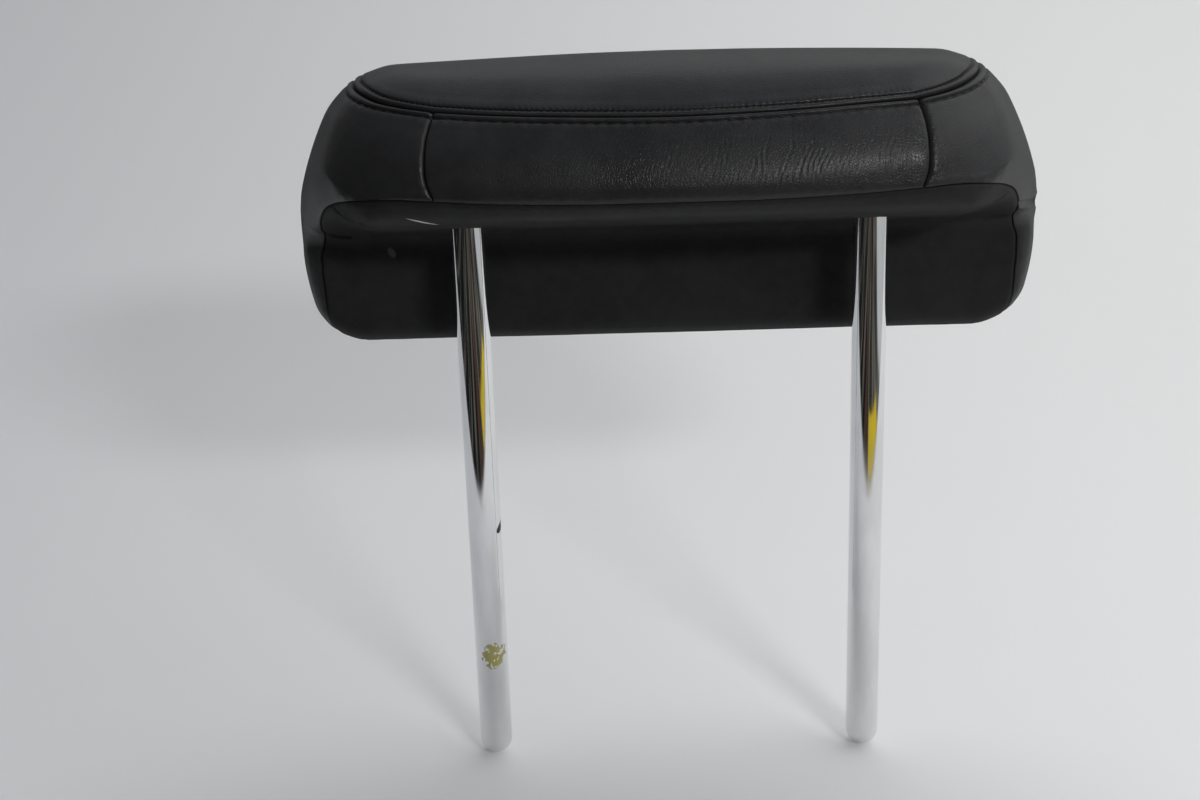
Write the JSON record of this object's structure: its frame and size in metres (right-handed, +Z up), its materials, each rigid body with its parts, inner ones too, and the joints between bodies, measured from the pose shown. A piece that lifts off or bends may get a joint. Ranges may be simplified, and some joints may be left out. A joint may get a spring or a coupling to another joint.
{
  "type": "car headrest",
  "caption": "Low, wide leather car headrest with an overhanging rear lip, a drop panel, welted seams and a bent chrome stay with two posts.",
  "frame": {"origin": "midway between the posts' axes, level with the line where they enter the cushion's underside at its middle", "axes": "+Z up along the posts towards the cushion, +Y towards the occupant's head, +X across the cushion to the occupant's left"},
  "size_m": [0.2648, 0.0983, 0.2719],
  "materials": {
    "leather": "soft satin, fine grain",
    "leather_underside": "matte, fine grain",
    "chrome": "polished",
    "foam": "open-cell foam",
    "insert_plastic": "moulded",
    "screw_steel": "plated"
  },
  "bodies": {
    "root": {"stay": "chrome", "insert_front": "insert_plastic", "insert_rear": "insert_plastic", "insert_screw_1": "screw_steel", "insert_screw_2": "screw_steel", "insert_screw_3": "screw_steel", "insert_screw_4": "screw_steel", "foam_core": "foam", "cover_centre": "leather", "cover_rear": "leather", "cover_side_left": "leather", "cover_side_right": "leather", "cover_underside": "leather_underside"}
  },
  "joints": []
}
